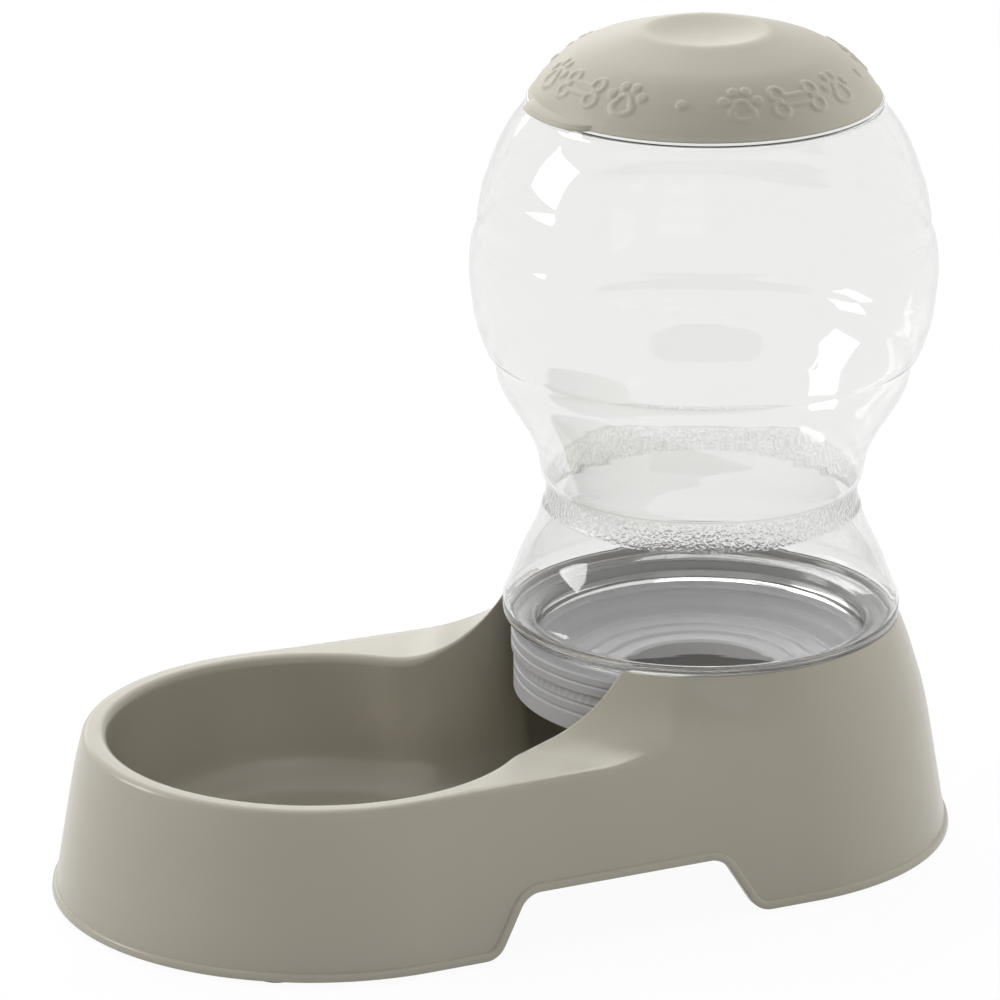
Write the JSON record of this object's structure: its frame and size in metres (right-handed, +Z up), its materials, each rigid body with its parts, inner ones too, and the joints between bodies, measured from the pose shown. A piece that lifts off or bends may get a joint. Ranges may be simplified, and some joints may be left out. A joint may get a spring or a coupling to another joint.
{
  "type": "gravity pet feeder",
  "caption": "Gravity pet feeder: a moulded base with an open bowl and a low tower, an upturned clear bottle with a neck ring that lets dry food run into the bowl, and a press-on lid.",
  "frame": {"origin": "centre of the base's outline, on the table under the feet", "axes": "+X from the bowl towards the tower, +Z up"},
  "size_m": [0.3692, 0.2078, 0.3277],
  "materials": {
    "taupe_plastic": "satin gloss, moulded",
    "clear_plastic": "clear, blown",
    "frosted_plastic": "frosted, moulded",
    "lid_plastic": "satin gloss, moulded",
    "foot_rubber": "matte"
  },
  "bodies": {
    "feeder": {"base": "taupe_plastic", "bottle": "clear_plastic", "neck_ring": "frosted_plastic", "foot_front_left": "foot_rubber", "foot_front_right": "foot_rubber", "foot_rear_left": "foot_rubber", "foot_rear_right": "foot_rubber"},
    "cap": {"lid": "lid_plastic"}
  },
  "joints": [
    {"name": "lid_lift", "type": "slide", "parent": "feeder", "child": "cap", "axis": [0, 0, 1], "range_m": [0, 0.06]}
  ]
}
